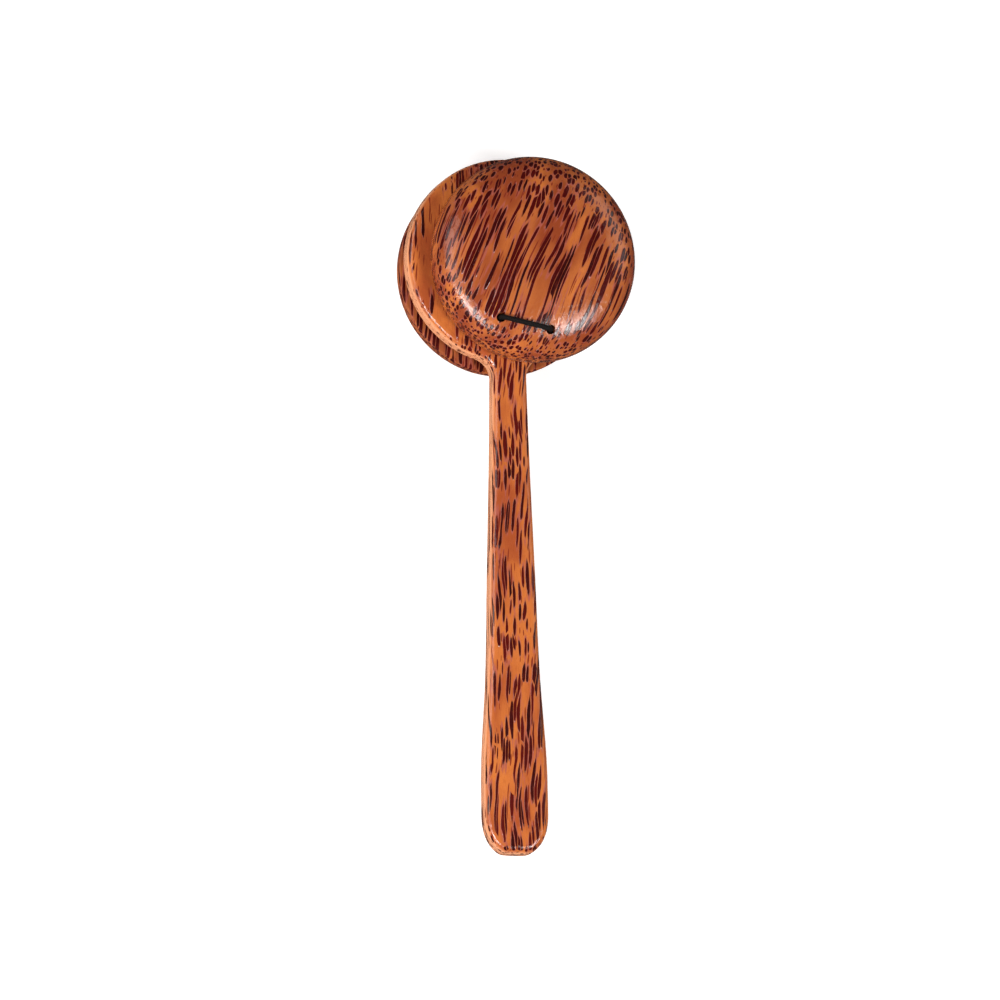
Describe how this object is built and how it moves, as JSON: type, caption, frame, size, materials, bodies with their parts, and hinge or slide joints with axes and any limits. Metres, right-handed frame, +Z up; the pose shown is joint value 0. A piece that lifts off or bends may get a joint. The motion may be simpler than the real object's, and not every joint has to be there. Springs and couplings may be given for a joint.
{
  "type": "handle castanet",
  "caption": "Wooden castanet on a handle: two hollow shells tied by an elastic cord to a flat round-headed paddle, which clap on it when shaken.",
  "frame": {"origin": "centre of the bounding box's base, on the table that the castanet lies on with its shells as stored", "axes": "+Z up from the table, +Y along the instrument from the handle's end towards the head, +X to the right seen from above"},
  "size_m": [0.0666, 0.2011, 0.037],
  "materials": {
    "paddle_wood": "satin lacquered palm wood, dark fibres in orange brown",
    "shell_wood": "glossy lacquered palm wood, dark fibres in orange brown",
    "cord": "matt black braided elastic"
  },
  "bodies": {
    "paddle": {"paddle": "paddle_wood", "cord_through_paddle": "cord"},
    "front_cord": {"cord_front_legs": "cord"},
    "front_shell": {"front_shell": "shell_wood", "cord_front_stitch": "cord"},
    "back_cord": {"cord_back_legs": "cord"},
    "back_shell": {"back_shell": "shell_wood", "cord_back_stitch": "cord"}
  },
  "joints": [
    {"name": "front_swivel", "type": "hinge", "parent": "paddle", "child": "front_cord", "pos_m": [-0.00296, 0.05019, 0.01738], "axis": [0, -0.091, 0.9959], "range_deg": [-7.5, 32.5]},
    {"name": "front_flap", "type": "hinge", "parent": "front_cord", "child": "front_shell", "pos_m": [-0.00291, 0.04147, 0.0206], "axis": [0.9763, -0.2155, -0.0197], "range_deg": [0, 15], "stiffness_Nm_per_rad": 0.03, "springref_deg": -14.32},
    {"name": "back_swivel", "type": "hinge", "parent": "paddle", "child": "back_cord", "pos_m": [-0.00296, 0.05019, 0.01738], "axis": [0, -0.091, 0.9959], "range_deg": [-23, 17]},
    {"name": "back_flap", "type": "hinge", "parent": "back_cord", "child": "back_shell", "pos_m": [-0.00199, 0.03931, 0.01237], "axis": [-0.9986, -0.0521, -0.0048], "range_deg": [0, 15], "stiffness_Nm_per_rad": 0.03, "springref_deg": -14.32}
  ]
}
